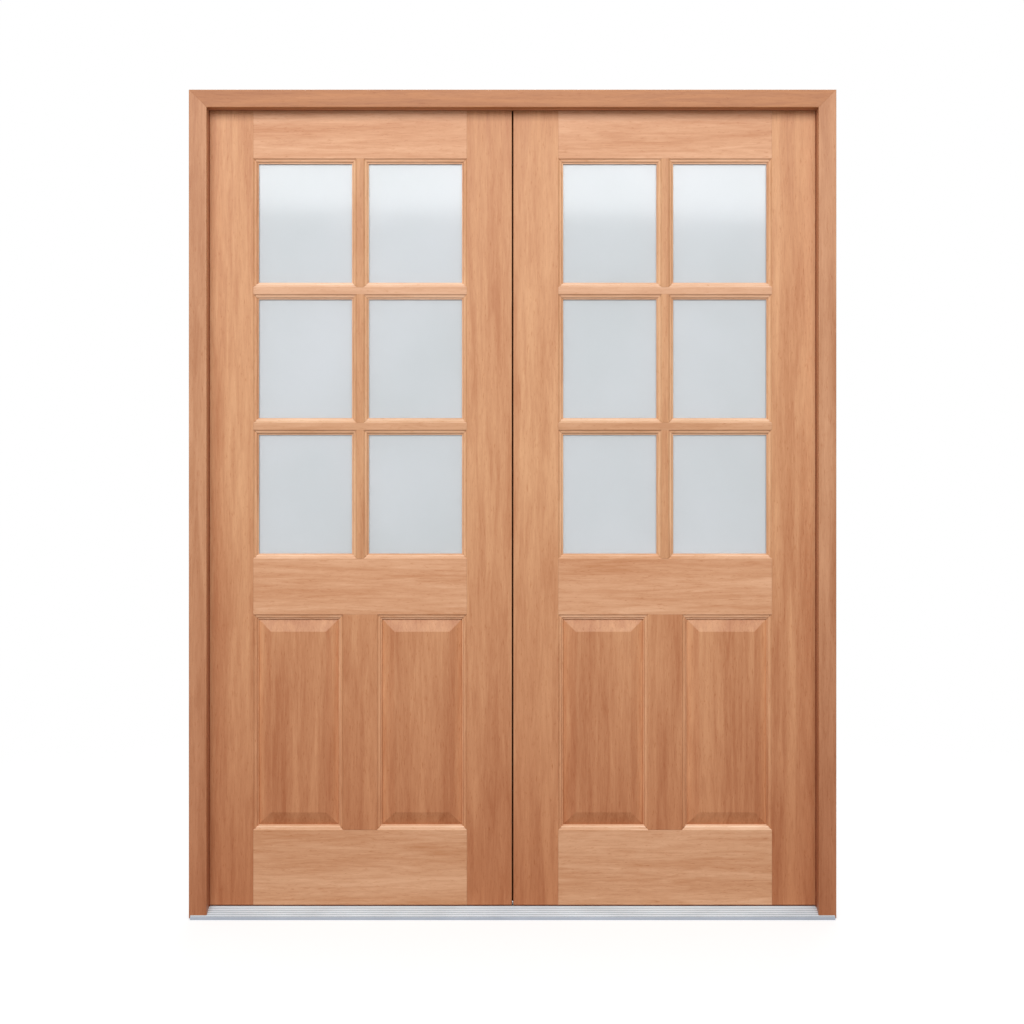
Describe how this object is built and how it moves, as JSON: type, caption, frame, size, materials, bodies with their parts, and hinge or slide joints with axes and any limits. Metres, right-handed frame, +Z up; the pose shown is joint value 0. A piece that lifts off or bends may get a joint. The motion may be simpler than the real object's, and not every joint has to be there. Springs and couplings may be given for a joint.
{
  "type": "french doors",
  "caption": "Pair of inward-opening timber french doors in their own frame, with divided satin lights over a mid rail and raised panels, flat mitred casing and fluted sill.",
  "frame": {"origin": "middle of the sill's underside, in line with the outer edge of the jambs", "axes": "+X across the opening as seen from outside, +Y into the building, +Z up"},
  "size_m": [1.5894, 0.0998, 2.0366],
  "materials": {
    "upright_wood": "clear satin over vertical grain",
    "level_wood": "clear satin over level grain",
    "mullion_wood": "clear satin over vertical grain",
    "panel_wood": "clear satin over vertical grain",
    "bead_wood": "clear satin",
    "casing_wood": "clear satin over vertical grain",
    "head_casing_wood": "clear satin over level grain",
    "jamb_wood": "clear satin",
    "hidden_wood": "bare",
    "pane_glass": "satin",
    "sill_aluminium": "mill satin",
    "hinge_steel": "satin",
    "bolt_steel": "satin",
    "screw_steel": "zinc",
    "seal_rubber": "matt"
  },
  "bodies": {
    "frame": {"head_jamb": "jamb_wood", "left_jamb": "jamb_wood", "right_jamb": "jamb_wood", "head_casing": "head_casing_wood", "left_casing": "casing_wood", "right_casing": "casing_wood", "head_weatherstrip": "seal_rubber", "left_weatherstrip": "seal_rubber", "right_weatherstrip": "seal_rubber", "sill_deck": "sill_aluminium", "sill_core": "hidden_wood", "sill_riser": "hidden_wood", "head_keeper": "bolt_steel", "sill_keeper": "bolt_steel", "left_jamb_hinge_leaves": "hinge_steel", "right_jamb_hinge_leaves": "hinge_steel", "hinge_pins": "hinge_steel"},
    "left_leaf": {"left_hinge_stile": "upright_wood", "left_meeting_stile": "upright_wood", "left_top_rail": "level_wood", "left_mid_rail": "level_wood", "left_bottom_rail": "level_wood", "left_rail_tenons": "hidden_wood", "left_mullion": "mullion_wood", "left_lower_glazing_bar": "level_wood", "left_upper_glazing_bar": "level_wood", "left_short_glazing_bars": "upright_wood", "left_glass_panes": "pane_glass", "left_glazing_beads": "bead_wood", "left_outer_panel": "panel_wood", "left_inner_panel": "panel_wood", "left_hinge_leaves": "hinge_steel", "left_bottom_sweep": "seal_rubber", "left_meeting_seal": "seal_rubber", "top_bolt_plate": "bolt_steel", "bottom_bolt_plate": "bolt_steel"},
    "right_leaf": {"right_hinge_stile": "upright_wood", "right_meeting_stile": "upright_wood", "right_top_rail": "level_wood", "right_mid_rail": "level_wood", "right_bottom_rail": "level_wood", "right_rail_tenons": "hidden_wood", "right_mullion": "mullion_wood", "right_lower_glazing_bar": "level_wood", "right_upper_glazing_bar": "level_wood", "right_short_glazing_bars": "upright_wood", "right_glass_panes": "pane_glass", "right_glazing_beads": "bead_wood", "right_outer_panel": "panel_wood", "right_inner_panel": "panel_wood", "right_hinge_leaves": "hinge_steel", "right_bottom_sweep": "seal_rubber", "right_meeting_seal": "seal_rubber"},
    "top_bolt": {"top_bolt": "bolt_steel"},
    "bottom_bolt": {"bottom_bolt": "bolt_steel"}
  },
  "joints": [
    {"name": "left_leaf_swing", "type": "hinge", "parent": "frame", "child": "left_leaf", "pos_m": [-0.76415, 0.0695, 1.0541], "axis": [0, 0, 1], "range_deg": [0, 170]},
    {"name": "right_leaf_swing", "type": "hinge", "parent": "frame", "child": "right_leaf", "pos_m": [0.76415, 0.0695, 1.0541], "axis": [0, 0, -1], "range_deg": [0, 170]},
    {"name": "top_bolt_slide", "type": "slide", "parent": "left_leaf", "child": "top_bolt", "axis": [0, 0, 1], "range_m": [0, 0.015]},
    {"name": "bottom_bolt_slide", "type": "slide", "parent": "left_leaf", "child": "bottom_bolt", "axis": [0, 0, -1], "range_m": [0, 0.015]}
  ]
}
